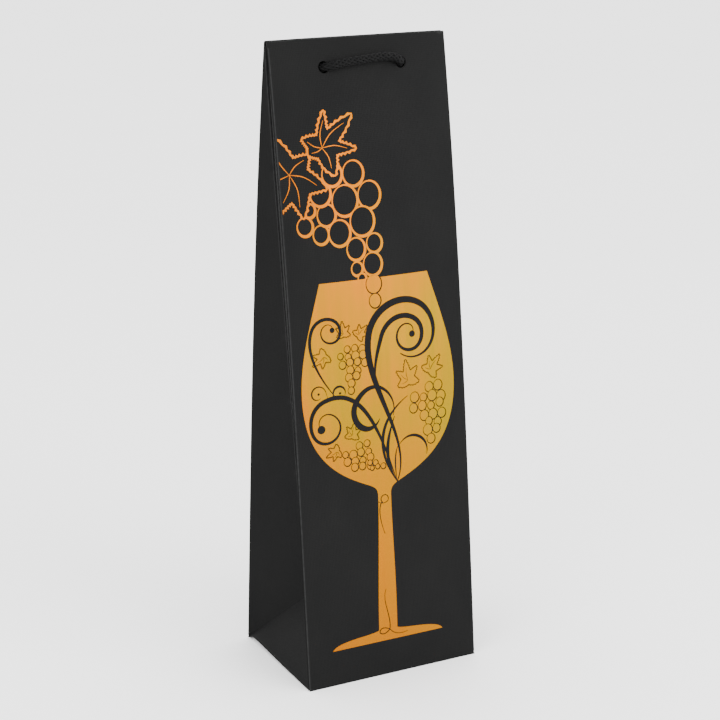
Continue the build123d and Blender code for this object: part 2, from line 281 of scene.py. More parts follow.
def triangulate(loops, spacing, bands=(), columns=()):
    """Triangles in the flat, in millimetres, that keep every edge of the loops.

    Points of a grid fill the space between. bands are (low, high, spacing) up the sheet, and
    columns are extra lines of points."""
    outer = np.asarray(loops[0], float)
    low, high = outer.min(0), outer.max(0)
    points, edges = [], []
    for line, closed in [(loop, True) for loop in loops] + [(column, False) for column in columns]:
        first, count = len(points), len(line)
        points += [tuple(p) for p in line]
        edges += [(first + i, first + (i + 1) % count) for i in range(count if closed else count - 1)]
    rows, y = [], low[1] + spacing / 2
    while y < high[1]:
        rows.append(y)
        y += next((fine for start, end, fine in bands if start <= y < end), spacing)
    across = np.arange(low[0] + spacing / 2, high[0], spacing)
    grid = np.array([(x, y) for y in rows for x in across])
    grid = grid[winding(grid, outer) != 0]
    own = np.array(points)
    points += [tuple(g) for g in grid if ((own - g) ** 2).sum(1).min() > 0.3 ** 2]
    made = geometry.delaunay_2d_cdt([Vector(p) for p in points], edges, [], 0, 1e-4, False)
    flat = np.array([tuple(p) for p in made[0]])
    return flat, np.array([tuple(face) for face in made[2]])


def edge_distance(flat, creases):
    """Distance of each point from the nearest crease, each given by two points on it."""
    best = np.full(len(flat), 1e3)
    for start, end in creases:
        start, end = np.array(start, float), np.array(end, float)
        run = end - start
        share = np.clip(((flat - start) @ run) / (run @ run), 0, 1)
        best = np.minimum(best, np.linalg.norm(flat - start - share[:, None] * run, axis=1))
    return best


def cut_sheet(name, flat, triangles, place, thickness, material, creases=(), lift=0.0):
    """A closed sheet of paper made of flat triangles, in millimetres, put where place says."""
    used = np.unique(triangles)
    number = {old: new for new, old in enumerate(used)}
    flat = flat[used]
    triangles = [[number[corner] for corner in triangle] for triangle in triangles]
    count = len(flat)
    points = [place(u * MM, v * MM, -lift) for u, v in flat]
    points += [place(u * MM, v * MM, thickness - lift) for u, v in flat]
    faces = [tuple(t) for t in triangles] + [tuple(corner + count for corner in t[::-1]) for t in triangles]
    ways = {(t[i], t[(i + 1) % 3]) for t in triangles for i in range(3)}
    faces += [(b, a, a + count, b + count) for a, b in sorted(ways) if (b, a) not in ways]
    # Each point's distance from the nearest crease, which the paper material uses for its painted crease
    # highlight.
    apart = edge_distance(flat, creases)
    pattern = [(u * MM, v * MM, d * MM) for (u, v), d in zip(flat, apart)]
    return finish_mesh(name, points, faces, material, pattern * 2)


def kept(flat, triangles, loops):
    """The triangles inside the first loop and outside the others, which are holes."""
    middles = flat[triangles].mean(axis=1)
    inside = winding(middles, loops[0]) != 0
    for hole in loops[1:]:
        inside &= winding(middles, hole) == 0
    return triangles[inside]


def paper_piece(name, loops, spacing, place, thickness, material, creases=()):
    """A sheet cut to the first loop, with the other loops as holes. Loops in millimetres."""
    flat, triangles = triangulate(loops, spacing)
    return cut_sheet(name, flat, kept(flat, triangles, loops), place, thickness, material, creases)


def circle(x, y, radius, count=28):
    turns = [2 * math.pi * i / count for i in range(count)]
    return [(x + radius * math.cos(turn), y + radius * math.sin(turn)) for turn in turns]


def subdivided(corners, step):
    """A closed outline with points no further apart than step."""
    outline = []
    for start, end in zip(corners, corners[1:] + corners[:1]):
        count = max(1, math.ceil(math.dist(start, end) / step))
        outline += [(start[0] + (end[0] - start[0]) * i / count, start[1] + (end[1] - start[1]) * i / count)
                    for i in range(count)]
    return outline


def mirrored(place, x_side, y_side):
    """The same place on the left or right, and at the front or back."""
    return lambda u, v, inward: place(u, v, inward) * Vector((x_side, y_side, 1))


def turned(place):
    """The same place on the other wide side, which is the front turned half way about Z."""
    def back(u, v, inward):
        point = place(u, v, inward)
        return Vector((-point.x, -point.y, point.z))
    return back


# ---- materials ----
class Shader:
    """A node material being put together."""

    def __init__(self, name, roughness, metallic=0.0, sheen=0.0, shine=0.5):
        self.material = bpy.data.materials.new(name)
        self.material.use_nodes = True
        self.tree = self.material.node_tree
        self.surface = self.tree.nodes["Principled BSDF"]
        self.surface.inputs["Roughness"].default_value = roughness
        self.surface.inputs["Metallic"].default_value = metallic
        self.surface.inputs["Sheen Weight"].default_value = sheen
        self.surface.inputs["Specular IOR Level"].default_value = shine

    def add(self, kind, inputs=None, **settings):
        node = self.tree.nodes.new("ShaderNode" + kind)
        for key, value in settings.items():
            setattr(node, key, value)
        for key, value in (inputs or {}).items():
            if isinstance(value, bpy.types.NodeSocket):
                self.tree.links.new(value, node.inputs[key])
            else:
                node.inputs[key].default_value = value
        return node

    def place(self, own):
        """Where on the sheet a point is: from the pattern attribute, or from its position."""
        if own:
            return self.add("Attribute", attribute_name="pattern").outputs["Vector"]
        return self.add("TexCoord").outputs["Object"]

    def math(self, operation, *values, clamp=False):
        node = self.add("Math", dict(enumerate(values)), operation=operation, use_clamp=clamp)
        return node.outputs[0]

    def noise(self, where, scale, detail=3.0, roughness=0.55):
        values = {"Vector": where, "Scale": scale, "Detail": detail, "Roughness": roughness}
        return self.add("TexNoise", values).outputs["Fac"]

    def wave(self, where, pitch, axis, distortion=1.6):
        """Ridges across one axis, a given distance apart."""
        values = {"Vector": where, "Scale": math.pi / (10 * pitch), "Distortion": distortion,
                  "Detail": 2.0, "Detail Scale": 0.4}
        return self.add("TexWave", values, bands_direction=axis).outputs["Fac"]

    def ramp(self, factor, *stops):
        """Colours along a factor, each stop a place and a colour."""
        node = self.add("ValToRGB", {"Fac": factor})
        while len(node.color_ramp.elements) < len(stops):
            node.color_ramp.elements.new(0.5)
        for element, (place, colour) in zip(node.color_ramp.elements, stops):
            element.position = place
            element.color = (*colour, 1)
        return node.outputs["Color"]

    def span(self, value, low, high, to_low, to_high):
        values = {"Value": value, "From Min": low, "From Max": high, "To Min": to_low, "To Max": to_high}
        return self.add("MapRange", values).outputs["Result"]

    def mix(self, factor, first, second, blend="MIX"):
        node = self.add("Mix", {0: factor, 6: first, 7: second}, data_type="RGBA", blend_type=blend)
        return node.outputs[2]

    def stretch(self, where, x, y, z):
        return self.add("Mapping", {"Vector": where, "Scale": (x, y, z)}).outputs["Vector"]

    def colour(self, socket):
        self.tree.links.new(socket, self.surface.inputs["Base Color"])

    def rough(self, socket):
        self.tree.links.new(socket, self.surface.inputs["Roughness"])

    def bump(self, height_socket, strength, distance):
        node = self.add("Bump", {"Height": height_socket, "Strength": strength, "Distance": distance})
        self.tree.links.new(node.outputs["Normal"], self.surface.inputs["Normal"])


LINEN_PITCH = 0.0009


def linen_height(shader, where, upright):
    """The fine crossed threads pressed into the paper, from 0 to 1."""
    across = shader.wave(where, LINEN_PITCH, "X")
    along = shader.wave(where, LINEN_PITCH * 1.12, upright)
    threads = shader.math("MAXIMUM", across, shader.math("MULTIPLY", along, 0.85))
    fibres = shader.noise(where, 2600.0, 4.0)
    return shader.math("ADD", shader.math("MULTIPLY", threads, 0.6), shader.math("MULTIPLY", fibres, 0.4))


def paper_material(name, tone, own=True, painted_crease_highlight=True, upright="Y"):
    """Matt black paper with a fine linen emboss, and a paler painted highlight along its creases."""
    shader = Shader(name, roughness=0.66, shine=0.06)
    where = shader.place(own)
    height_map = linen_height(shader, where, upright)
    clouds = shader.noise(where, 28.0, 3.0)
    specks = shader.noise(where, 900.0, 2.0)
    dark = tuple(tone * part for part in (0.74, 0.76, 0.78))
    light = tuple(tone * part for part in (1.26, 1.25, 1.22))
    base = shader.ramp(shader.math("ADD", shader.math("MULTIPLY", clouds, 0.5),
                                   shader.math("MULTIPLY", specks, 0.5)), (0.32, dark), (0.68, light))
    thread_tone = shader.span(height_map, 0.25, 0.8, 0.55, 1.35)
    threads = shader.add("CombineColor", {"Red": thread_tone, "Green": thread_tone, "Blue": thread_tone})
    colour = shader.mix(1.0, base, threads.outputs["Color"], "MULTIPLY")
    # Painted highlight: a paler colour mixed in within 0.7 mm of a crease, broken up by noise, standing in
    # for light caught on the folds.
    if painted_crease_highlight:
        apart = shader.add("SeparateXYZ", {"Vector": where}).outputs["Z"]
        line = shader.span(apart, 0.0, 0.0007, 1.0, 0.0)
        highlight_breaks = shader.span(shader.noise(where, 420.0, 4.0, 0.7), 0.30, 0.62, 0.35, 1.0)
        painted_highlight = shader.math("MULTIPLY", shader.math("MULTIPLY", line, highlight_breaks), 0.55, clamp=True)
        colour = shader.mix(painted_highlight, colour, (0.026, 0.0265, 0.0265, 1))
    shader.colour(colour)
    shader.rough(shader.span(specks, 0.3, 0.7, 0.60, 0.74))
    shader.bump(height_map, 0.55, 0.00008)
    return shader.material


def foil_material():
    """Gold hot foil over the linen, brushed upright, from orange to olive gold."""
    shader = Shader("gold_foil", roughness=0.42, metallic=1.0)
    where = shader.place(True)
    parts = shader.add("SeparateXYZ", {"Vector": where})
    streaks = shader.noise(shader.stretch(where, 190.0, 9.0, 1.0), 1.0, 4.0, 0.6)
    shades = shader.noise(shader.stretch(where, 17.0, 11.0, 1.0), 1.0, 2.0, 0.5)
    bowl = shader.span(parts.outputs["Y"], 0.105, 0.150, 0.35, 1.0)
    varied = shader.math("ADD", shader.math("MULTIPLY", shades, 1.0), shader.math("MULTIPLY", streaks, 0.4))
    across = shader.math("MULTIPLY", parts.outputs["X"], 2.6)
    off_middle = shader.math("ABSOLUTE", shader.math("SUBTRACT", parts.outputs["Y"], 0.188))
    drift = shader.math("SUBTRACT", across, shader.math("MULTIPLY", off_middle, 2.6))
    change = shader.math("ADD", shader.math("SUBTRACT", varied, 0.64), drift)
    tone = shader.math("ADD", shader.math("MULTIPLY", change, bowl), 0.5, clamp=True)
    colour = shader.ramp(tone, (0.22, (0.285, 0.074, 0.0)), (0.50, (0.235, 0.097, 0.0)),
                         (0.75, (0.178, 0.112, 0.0)))
    shader.colour(colour)
    threads = linen_height(shader, where, "Y")
    shader.rough(shader.span(streaks, 0.3, 0.7, 0.36, 0.50))
    shader.bump(threads, 0.22, 0.00005)
    return shader.material


def card_material(name, own, tone):
    """Dense dark board with short fibres in it."""
    shader = Shader(name, roughness=0.85, shine=0.2)
    where = shader.place(own)
    fibres = shader.noise(shader.stretch(where, 1.0, 3.0, 1.0), 900.0, 5.0, 0.7)
    clouds = shader.noise(where, 60.0, 3.0)
    mixed = shader.math("ADD", shader.math("MULTIPLY", fibres, 0.6), shader.math("MULTIPLY", clouds, 0.4))
    dark = tuple(tone * part for part in (0.70, 0.68, 0.64))
    light = tuple(tone * part for part in (1.35, 1.30, 1.22))
    shader.colour(shader.ramp(mixed, (0.3, dark), (0.7, light)))
    shader.rough(shader.span(fibres, 0.3, 0.7, 0.78, 0.92))
    shader.bump(fibres, 0.4, 0.0001)
    return shader.material


def cord_material():
    """Black braided rope: fine fibres along each strand, with a soft sheen."""
    shader = Shader("black_braid", roughness=0.6, sheen=0.004, shine=0.07)
    shader.surface.inputs["Sheen Roughness"].default_value = 0.5
    where = shader.place(True)
    fibres = shader.noise(shader.stretch(where, 5200.0, 420.0, 1.0), 1.0, 3.0, 0.6)
    fuzz = shader.noise(where, 900.0, 3.0)
    shader.colour(shader.ramp(fibres, (0.30, (0.0003, 0.0003, 0.0003)), (0.72, (0.0016, 0.0016, 0.0017))))
    shader.rough(shader.span(fuzz, 0.3, 0.7, 0.46, 0.66))
    shader.bump(fibres, 0.6, 0.00012)
    return shader.material


def floor_material():
    shader = Shader("pale_floor", roughness=0.6)
    clouds = shader.noise(shader.place(False), 1.5, 2.0)
    shader.colour(shader.ramp(clouds, (0.3, (0.93, 0.93, 0.93)), (0.7, (0.95, 0.95, 0.95))))
    return shader.material


outer_paper = paper_material("outer_paper", 0.0030)
# A darker copy of the outer paper for the gussets: painted shade for their deep folds.
gusset_paper = paper_material("gusset_paper", 0.0024)
inner_paper = paper_material("inner_paper", 0.0042, painted_crease_highlight=False)
base_paper = paper_material("base_paper", 0.0042, own=False, painted_crease_highlight=False, upright="Y")
gold_foil = foil_material()
card_sheet = card_material("card_in_hem", True, 0.014)
card_board = card_material("card_board", False, 0.016)
black_braid = cord_material()


# ---- camera ----
CAMERA_AT = Vector((-0.473, -0.915, 0.468))
CAMERA_AZIMUTH = math.radians(-27.4)
CAMERA_ELEVATION = math.radians(15.8)
CAMERA_ROLL = math.radians(-0.39)
CAMERA_LENS = 93.85
flat_reach = math.cos(CAMERA_ELEVATION)
back_way = Vector((math.sin(CAMERA_AZIMUTH) * flat_reach, -math.cos(CAMERA_AZIMUTH) * flat_reach,
                   math.sin(CAMERA_ELEVATION)))
right_way = Vector((0, 0, 1)).cross(back_way).normalized()
up_way = back_way.cross(right_way)
level = Matrix((right_way, up_way, back_way)).transposed().to_4x4()
camera_data = bpy.data.cameras.new("camera")
camera_data.sensor_width = 36
camera_data.lens = CAMERA_LENS
camera_data.clip_end = 50
camera = bpy.data.objects.new("camera", camera_data)
camera.matrix_world = Matrix.Translation(CAMERA_AT) @ level @ Matrix.Rotation(CAMERA_ROLL, 4, "Z")
bpy.context.scene.collection.objects.link(camera)
bpy.context.scene.camera = camera


# ---- handle cords ----
# The front handle's route: across, up from the hole's height, and in from the panel's face.
FRONT_ROUTE = [
    (-0.0206, -0.134, 0.0140),
    (-0.0218, -0.088, 0.0120),
    (-0.0229, -0.047, 0.0084),
    (-0.0234, -0.022, 0.0056),
    (-0.0243, -0.008, 0.0045),
    (-0.0245, -0.0004, 0.0044),
    (-0.0224, 0.0004, -0.0032),
    (-0.0140, 0.0021, -0.0043),
    (-0.0020, 0.0033, -0.0046),
    (0.0092, 0.0043, -0.0045),
    (0.0176, 0.0038, -0.0037),
    (0.0224, 0.0010, -0.0029),
    (0.0240, -0.0012, 0.0044),
    (0.0240, -0.0090, 0.0045),
    (0.0232, -0.0230, 0.0058),
    (0.0218, -0.0490, 0.0086),
    (0.0226, -0.0910, 0.0122),
    (0.0210, -0.1380, 0.0140),
]


def smooth_line(points):
    """Points along the NURBS spline that has these control points."""
    data = bpy.data.curves.new("route", "CURVE")
    data.dimensions = "3D"
    data.resolution_u = 24
    spline = data.splines.new("NURBS")
    spline.points.add(len(points) - 1)
    for control, point in zip(spline.points, points):
        control.co = (*point, 1)
    spline.order_u = 3
    spline.use_endpoint_u = True
    holder = bpy.data.objects.new("route", data)
    mesh = bpy.data.meshes.new_from_object(holder)
    line = [vertex.co.copy() for vertex in mesh.vertices]
    bpy.data.objects.remove(holder)
    return line


def evenly(line, step):
    """The same line with points a fixed distance apart."""
    steps = [0.0]
    for before, after in zip(line, line[1:]):
        steps.append(steps[-1] + (after - before).length)
    count = max(2, round(steps[-1] / step))
    places = np.linspace(0, steps[-1], count + 1)
    columns = [np.interp(places, steps, [point[axis] for point in line]) for axis in range(3)]
    return [Vector(point) for point in zip(*columns)]


def carried_frames(line):
    """Two cross directions at each point, carried along the line without twist."""
    side = (line[1] - line[0]).orthogonal().normalized()
    frames = []
    for i in range(len(line)):
        ahead = (line[min(i + 1, len(line) - 1)] - line[max(i - 1, 0)]).normalized()
        side = (side - ahead * side.dot(ahead)).normalized()
        frames.append((side, ahead.cross(side)))
    return frames


BRAID_PAIRS = 6
BRAID_PITCH = 0.021
BRAID_STEP = 0.0011
STRAND_SIDES = 8
CORE_SHARE = 0.66


def braided(name, line, diameter):
    """A round braid along a line: strands that go over and under each other, on a core."""
    line = evenly(line, BRAID_STEP)
    frames = carried_frames(line)
    outer = diameter / 2
    thick = outer * 0.17
    middle = outer * 0.74
    rise = outer * 0.09
    wide = math.pi * middle / BRAID_PAIRS * 0.62
    points, faces, pattern = [], [], []

    def tube(centres, sides, half_wide, half_thick, outwards):
        first = len(points)
        for i, (centre, out) in enumerate(zip(centres, outwards)):
            ahead = (centres[min(i + 1, len(centres) - 1)] - centres[max(i - 1, 0)]).normalized()
            across = ahead.cross(out).normalized()
            for k in range(sides):
                turn = 2 * math.pi * k / sides
                aside = across * half_wide * math.cos(turn)
                points.append(centre + aside + out * half_thick * math.sin(turn))
                pattern.append((half_wide * math.sin(turn / 2), i * BRAID_STEP, 0))
        for i in range(len(centres) - 1):
            for k in range(sides):
                a = first + i * sides + k
                b = first + i * sides + (k + 1) % sides
                faces.append((a, b, b + sides, a + sides))
        last = first + (len(centres) - 1) * sides
        faces.append(tuple(first + k for k in reversed(range(sides))))
        faces.append(tuple(last + k for k in range(sides)))

    tube(line, 12, outer * CORE_SHARE, outer * CORE_SHARE, [side for side, _ in frames])
    for hand in (1, -1):
        for strand in range(BRAID_PAIRS):
            centres, outwards = [], []
            for i, (point, (side, other)) in enumerate(zip(line, frames)):
                along = i * BRAID_STEP / BRAID_PITCH
                turn = 2 * math.pi * (strand / BRAID_PAIRS + hand * along)
                out = side * math.cos(turn) + other * math.sin(turn)
                lift = hand * rise * math.cos(2 * math.pi * BRAID_PAIRS * along)
                centres.append(point + out * (middle + lift))
                outwards.append(out)
            tube(centres, STRAND_SIDES, wide, thick, outwards)
    return finish_mesh(name, points, faces, black_braid, pattern, sharp=60)


KNOT_RING, KNOT_TUBE, KNOT_SHARE = 0.0033, 0.0019, 0.9
TAIL_LENGTH = 0.014
KNOT_TIGHTNESS = 0.9       # the pulled rope's diameter as a share of the free rope's


def knot_line(end, before):
    """An overhand knot on the rope's end, and the short tail past it."""
    down = (end - before).normalized()
    side = down.orthogonal().normalized()
    other = down.cross(side)
    middle = end + down * (KNOT_RING + KNOT_TUBE)
    turns = [2 * math.pi * (0.06 + KNOT_SHARE * i / 13) for i in range(14)]
    looped = []
    for turn in turns:
        ring = KNOT_RING + KNOT_TUBE * math.cos(3 * turn)
        looped.append(middle + side * ring * math.cos(2 * turn) + other * ring * math.sin(2 * turn)
                      + down * KNOT_TUBE * 1.5 * math.sin(3 * turn))
    tail = [middle + down * 0.006 + side * 0.0012, middle + down * TAIL_LENGTH - side * 0.001]
    return [end, end + down * 0.001] + looped + tail


def handle(side, turn_round):
    """One rope handle with its two knots."""
    route = [front_sheet(x, HOLE_Z + up, 0) + Vector((0, inward, 0)) for x, up, inward in FRONT_ROUTE]
    if turn_round:
        route = [Vector((-point.x, -point.y, point.z)) for point in route]
    line = smooth_line(route)
    rope = braided(side + "_handle_rope", line, CORD_DIAMETER)
    names = ("right", "left") if turn_round else ("left", "right")
    for place, end, before in ((names[0], route[0], route[1]), (names[1], route[-1], route[-2])):
        name = side + "_" + place
        tied = smooth_line(knot_line(end, before))
        knot = braided(name + "_tied_knot", tied, CORD_DIAMETER * KNOT_TIGHTNESS)
        register(knot, side + "_side", name + "_knot")
    register(rope, side + "_side", side + "_handle_cord")


handle("front", False)
handle("back", True)


# ---- panels, hems and cards ----
def in_mm(*values):
    return [value / MM for value in values]


def handle_holes(level_v):
    return [circle(*in_mm(x, level_v, HOLE_RADIUS)) for x in (-HOLE_X, HOLE_X)]


CORNER = 1.2               # millimetres, the rounding of the sheet's lower corners


def panel_loops():
    """The front sheet in the flat: panel, top fold and hem, with the holes through both."""
    edge, top, hem = in_mm(half_width - EDGE_RADIUS + EDGE_RADIUS * math.pi / 2, height, HEM_HALF_WIDTH)
    fold = height - HEM_RADIUS + math.pi * HEM_RADIUS
    hem_end = (fold + HEM_DEPTH) / MM
    outline = [(-edge + CORNER, 0), (edge - CORNER, 0), (edge - CORNER * 0.3, CORNER * 0.3), (edge, CORNER),
               (edge, top), (hem, top), (hem, hem_end), (-hem, hem_end), (-hem, top), (-edge, top),
               (-edge, CORNER), (-edge + CORNER * 0.3, CORNER * 0.3)]
    hole_again = fold + (height - HEM_RADIUS - HOLE_Z)
    return [subdivided(outline, 3)] + handle_holes(HOLE_Z) + handle_holes(hole_again)


def panel_creases():
    # The creases in the flat: the side edges, the foot, the hem's fold and the mouth. The paper material
    # paints its highlight along them.
    side, low, top = in_mm(half_width - EDGE_RADIUS * 0.3, 0, height)
    hem, fold = in_mm(HEM_HALF_WIDTH, height + HEM_RADIUS * 0.57)
    return [((-side, low), (-side, top)), ((side, low), (side, top)), ((-side, low), (side, low)),
            ((-hem, fold), (hem, fold)), ((-side, top), (-hem, top)), ((hem, top), (side, top))]


def edge_columns():
    """Straight lines of points that round the side edges finely."""
    start, end = in_mm(half_width - EDGE_RADIUS, half_width - EDGE_RADIUS + EDGE_RADIUS * math.pi / 2)
    columns = []
    for place in np.linspace(start - 0.6, end, 7):
        for side in (-1, 1):
            columns.append([(side * place, 2 + 3 * i) for i in range(int(height / MM / 3) - 1)])
    return columns


def build_panels():
    loops = panel_loops()
    top, fold_end = in_mm(PINCH_START, height - HEM_RADIUS + math.pi * HEM_RADIUS)
    bands = ((top, height / MM - 3, 3.0), (height / MM - 3, fold_end + 1, 0.4))
    flat, triangles = triangulate(loops, 5.0, bands, edge_columns())
    triangles = kept(flat, triangles, loops)
    for side, place in (("front", front_sheet), ("back", turned(front_sheet))):
        panel = cut_sheet(side + "_sheet", flat, triangles, place, PAPER, outer_paper, panel_creases())
        register(panel, side + "_side", side + "_panel")
        build_card(side, place)


def build_card(side, place):
    """The stiffening card inside a hem."""
    inward = PAPER + CARD_GAP
    thickness = 2 * HEM_RADIUS - 2 * PAPER - 2 * CARD_GAP
    half, high = in_mm(HEM_HALF_WIDTH - 0.0003, height - HEM_RADIUS - 0.0001)
    low = high - CARD_DEPTH / MM
    outline = subdivided([(-half, low), (half, low), (half, high), (-half, high)], 3)

    def inside_hem(u, v, depth_in):
        return place(u, v, inward + depth_in)

    loops = [outline] + handle_holes(HOLE_Z)
    card = paper_piece(side + "_hem_card", loops, 3.0, inside_hem, thickness, card_sheet)
    register(card, side + "_side", side + "_top_card")


def build_seam():
    """The glued side seam, a strip inside the back sheet along its edge."""
    outer, inner, low, high = in_mm(half_width - SEAM_MARGIN, half_width - SEAM_MARGIN - SEAM_WIDTH,
                                    0.0032, height - HEM_DEPTH - 0.0006)
    outline = subdivided([(inner, low), (outer, low), (outer, high), (inner, high)], 4)
    back = turned(front_sheet)

    def inside_back(u, v, inward):
        return back(u, v, PAPER + inward)

    strip = paper_piece("side_seam_strip", [outline], 4.0, inside_back, PAPER, inner_paper)
    register(strip, "back_side", "side_seam_flap")


build_panels()
build_seam()


# ---- gussets ----
# What is cut off the facets in the flat, in millimetres.
FOOT_TRIM = 1.6
TOP_TRIM = 3.0             # off the slanting crease's top corner
SIDE_TOP_TRIM = 0.6        # below the mouth, at the side edge
MOUTH_TRIM = 0.4           # below the mouth, along the inner facet
CENTRE_TRIM = 0.15
BASE_TRIM = 1.2


def gusset_outlines():
    """The three kinds of gusset facet in the flat, in millimetres."""
    d, length = in_mm(reach, side_length)
    slant = (length - d) / d
    high = length - TOP_TRIM
    corner = ((length - high) / slant, high)
    mouth = length - MOUTH_TRIM
    half = d - BASE_TRIM
    outer = [(0, FOOT_TRIM), (FOOT_TRIM, FOOT_TRIM), (d, d), corner, (0, length - SIDE_TOP_TRIM)]
    inner = [(d - CENTRE_TRIM, d + CENTRE_TRIM * slant), (d - CENTRE_TRIM, mouth), (TOP_TRIM, mouth), corner]
    base = [(-half, 0.0), (half, 0.0), (half, BASE_TRIM), (0, d), (-half, BASE_TRIM)]
    return outer, inner, base


def gusset_piece(name, outline, place, creases, x_side, y_side):
    """One facet of a gusset, made for the left front and mirrored."""
    return paper_piece(name, [subdivided(outline, 3)], 4.0, mirrored(place, x_side, y_side), PAPER,
                       gusset_paper, creases)


def build_gussets():
    outer, inner, base = gusset_outlines()
    d, length = in_mm(reach, side_length)
    slanting = ((d, d), (0, length))
    outer_creases = [slanting]
    inner_creases = [slanting, ((d, d), (d, length))]
    base_creases = [((-d, 0), (d, 0))]
    edge_run = outer_map(0.1, 0) - outer_map(0, 0)
    edge_run.normalize()
    across_crease = inner_way.cross(side_top - inner_corner).normalized()
    if across_crease.x < 0:
        across_crease.negate()
    base_up = (base_map(0, reach) - base_map(0, 0)).normalized()
    for side, x_side in (("left", 1), ("right", -1)):
        turn = Vector((x_side, 1, 1))
        start = base_map(0, 0) * turn
        piece = gusset_piece(side + "_base_gusset", base, base_triangle, base_creases, x_side, 1)
        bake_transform(piece)
        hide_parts(side + "_base_triangle")
        for end, y_side in (("front", 1), ("back", -1)):
            turn = Vector((x_side, y_side, 1))
            part = side + "_" + end
            start = outer_map(0, side_length / 2) * turn
            piece = gusset_piece(part + "_outer_gusset", outer, outer_facet, outer_creases, x_side, y_side)
            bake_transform(piece)
            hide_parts(part + "_outer_facet")
            start = inner_map(reach, reach) * turn
            piece = gusset_piece(part + "_inner_gusset", inner, inner_facet, inner_creases, x_side, y_side)
            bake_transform(piece)
            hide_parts(part + "_inner_facet")


build_gussets()

# ---- the base: CAD pieces with better materials ----
BASE_LOOKS = {side + "_bottom_flap": base_paper for side in ("front", "back", "left", "right")}
BASE_LOOKS["base_board"] = card_board
for node_name, look in BASE_LOOKS.items():
    node_data = frame["nodes"][node_name].data
    node_data.materials.clear()
    node_data.materials.append(look)


# ---- foil artwork ----
# All of it in millimetres on the front panel, x across and y up. Each shape is a closed loop
# and is laid over those before it: gold, or bare paper.
def polar(x, y, radius, degrees_turn):
    turn = math.radians(degrees_turn)
    return (x + radius * math.cos(turn), y + radius * math.sin(turn))


def bezier(a, b, c, d, count=22):
    t = np.linspace(0, 1, count)[:, None]
    a, b, c, d = (np.array(point, float) for point in (a, b, c, d))
    return (1 - t) ** 3 * a + 3 * (1 - t) ** 2 * t * b + 3 * (1 - t) * t ** 2 * c + t ** 3 * d


def swirl(x, y, radii, start, turn, count=84):
    """A curl about a point, through a turn in degrees. The radii are evenly spaced along it."""
    radii = np.array(radii, float)
    slopes = np.gradient(radii)
    place = np.linspace(0, len(radii) - 1, count)
    knot = np.minimum(place.astype(int), len(radii) - 2)
    t = place - knot
    radius = ((2 * t ** 3 - 3 * t ** 2 + 1) * radii[knot] + (t ** 3 - 2 * t ** 2 + t) * slopes[knot]
              + (3 * t ** 2 - 2 * t ** 3) * radii[knot + 1] + (t ** 3 - t ** 2) * slopes[knot + 1])
    angle = np.radians(start + turn * place / place[-1])
    return np.stack([x + radius * np.cos(angle), y + radius * np.sin(angle)], axis=1)


def joined(*lines):
    """Lines that follow on from each other, as one."""
    return np.concatenate([lines[0]] + [line[1:] for line in lines[1:]])


def brush(line, widest, ends=0.12, peak=0.5):
    """The outline of a brush stroke along a line, widest at the peak and thin at both ends."""
    line = np.asarray(line, float)
    step = np.linalg.norm(np.diff(line, axis=0), axis=1)
    share = np.concatenate([[0], np.cumsum(step)]) / step.sum()
    bent = np.where(share < peak, share / peak / 2, 0.5 + (share - peak) / (1 - peak) / 2)
    half = widest / 2 * (ends + (1 - ends) * np.sin(math.pi * np.clip(bent, 0, 1)).clip(0) ** 1.3)
    way = np.gradient(line, axis=0)
    way /= np.linalg.norm(way, axis=1)[:, None]
    across = np.stack([-way[:, 1], way[:, 0]], axis=1) * half[:, None]
    return np.concatenate([line + across, (line - across)[::-1]])


GLASS_X = -1.3
GLASS_LEAN = 1.4           # the print drifts to the left away from the bowl's middle
RIM_Y, RIM_HALF = 229.8, 33.6
WIDEST_Y, WIDEST_HALF = 167.5, 47.9
NECK_HALF = 4.1
STEM_FOOT_Y, STEM_FOOT_HALF = 27.0, 5.9
FOOT_HALF, FOOT_Y = 35.6, 20.4


def glass_outline():
    """A wine glass: straight-sided rim, round bowl, tall stem and a thin foot."""
    right = joined(
        bezier((RIM_HALF, RIM_Y), (RIM_HALF + 7, 207), (WIDEST_HALF, 188), (WIDEST_HALF, WIDEST_Y)),
        bezier((WIDEST_HALF, WIDEST_Y), (WIDEST_HALF, 140.5), (36, 126), (17, 116.8)),
        bezier((17, 116.8), (8.5, 112.3), (NECK_HALF, 112.5), (NECK_HALF, 106.5), 12),
        bezier((NECK_HALF, 106.5), (NECK_HALF, 84), (STEM_FOOT_HALF, 60), (STEM_FOOT_HALF, STEM_FOOT_Y), 16),
        bezier((STEM_FOOT_HALF, STEM_FOOT_Y), (10, 24.8), (FOOT_HALF - 3, 26), (FOOT_HALF, FOOT_Y), 18),
        bezier((FOOT_HALF, FOOT_Y), (24, FOOT_Y), (12, FOOT_Y), (0, FOOT_Y), 8),
    )
    left = right[::-1] * np.array([-1, 1])
    outline = joined(right, left)
    outline[:, 0] += GLASS_X - GLASS_LEAN * ((outline[:, 1] - 160) / 140) ** 2
    return outline


# A leaf's tips and the notches between them, in turn: the turn from its middle lobe, and the
# distance from its stalk as a share of its size.
LEAF = ((0, 1.0), (24, 0.47), (46, 0.80), (74, 0.38), (108, 0.62), (180, 0.24),
        (252, 0.62), (286, 0.38), (314, 0.80), (336, 0.47))
FRONT_LEAF = ((0, 1.0), (27, 0.42), (41, 0.80), (68, 0.30), (112, 0.50), (135, 0.33),
              (158, 0.36), (200, 0.24), (250, 0.66), (290, 0.38), (313, 0.80), (334, 0.42))
SIDE_LEAF = ((0, 1.0), (30, 0.62), (52, 0.92), (88, 0.44), (115, 0.64), (148, 0.38),
             (190, 0.98), (225, 0.34), (262, 0.80), (300, 0.40), (328, 0.84), (346, 0.60))


